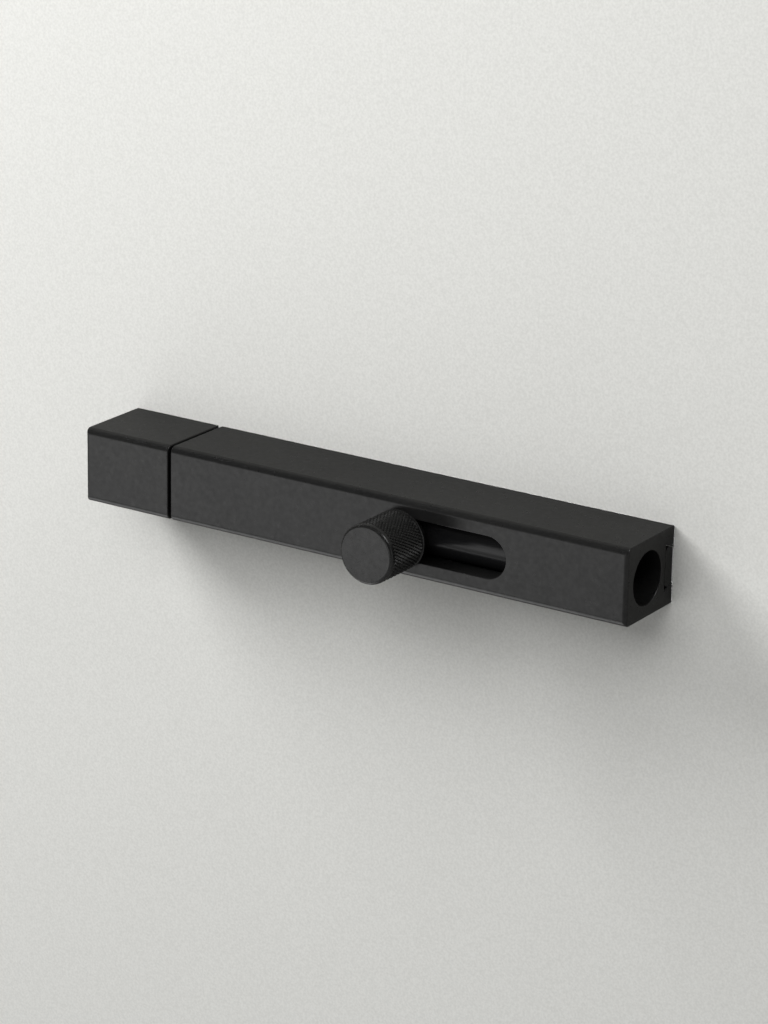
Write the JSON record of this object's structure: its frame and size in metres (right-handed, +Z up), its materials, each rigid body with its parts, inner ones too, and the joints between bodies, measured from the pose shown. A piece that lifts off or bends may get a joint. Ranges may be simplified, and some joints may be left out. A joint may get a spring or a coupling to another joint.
{
  "type": "barrel bolt",
  "caption": "Surface-mounted barrel bolt of square bar with round front edges: a round rod, moved by a knurled knob in a slot, slides from the housing into a matching keeper on the next leaf.",
  "frame": {"origin": "middle of the back face of the housing's rail, where it lies on the door leaf", "axes": "+X along the bar, from the keeper towards the housing's open end; +Y into the door leaf, normal to its face; +Z up"},
  "size_m": [0.178, 0.0586, 0.022],
  "materials": {
    "black_anodised": "fine bead-blasted, satin black anodised",
    "black_knurled": "diamond-knurled side and smooth face, black anodised",
    "blackened_steel": "ground and blackened",
    "zinc_steel": "bright zinc plated",
    "spring_steel": "polished",
    "black_acetal": "moulded, slightly waxy"
  },
  "bodies": {
    "housing_and_keeper": {"housing_body": "black_anodised", "housing_rail": "black_anodised", "housing_rail_screw_1": "zinc_steel", "housing_rail_screw_2": "zinc_steel", "housing_rail_screw_3": "zinc_steel", "housing_rail_screw_4": "zinc_steel", "housing_lock_screw_1": "blackened_steel", "housing_lock_screw_2": "blackened_steel", "keeper_body": "black_anodised", "keeper_liner": "black_acetal", "keeper_rail": "black_anodised", "keeper_rail_screw_1": "zinc_steel", "keeper_rail_screw_2": "zinc_steel", "keeper_lock_screw": "blackened_steel"},
    "bolt": {"bolt_rod": "blackened_steel", "rod_glide_ring_1": "black_acetal", "rod_glide_ring_2": "black_acetal", "knob": "black_knurled", "knob_stud": "zinc_steel", "slot_bush": "black_acetal", "detent_spring": "spring_steel"},
    "detent_ball": {"detent_ball": "spring_steel"}
  },
  "joints": [
    {"name": "bolt_slide", "type": "slide", "parent": "housing_and_keeper", "child": "bolt", "axis": [1, 0, 0], "range_m": [0, 0.027]},
    {"name": "detent_click", "type": "slide", "parent": "bolt", "child": "detent_ball", "axis": [0, 1, 0], "range_m": [0, 0.0004], "stiffness_N_per_m": 1500, "springref_m": 0.0016, "deforming": ["detent_spring"]}
  ]
}
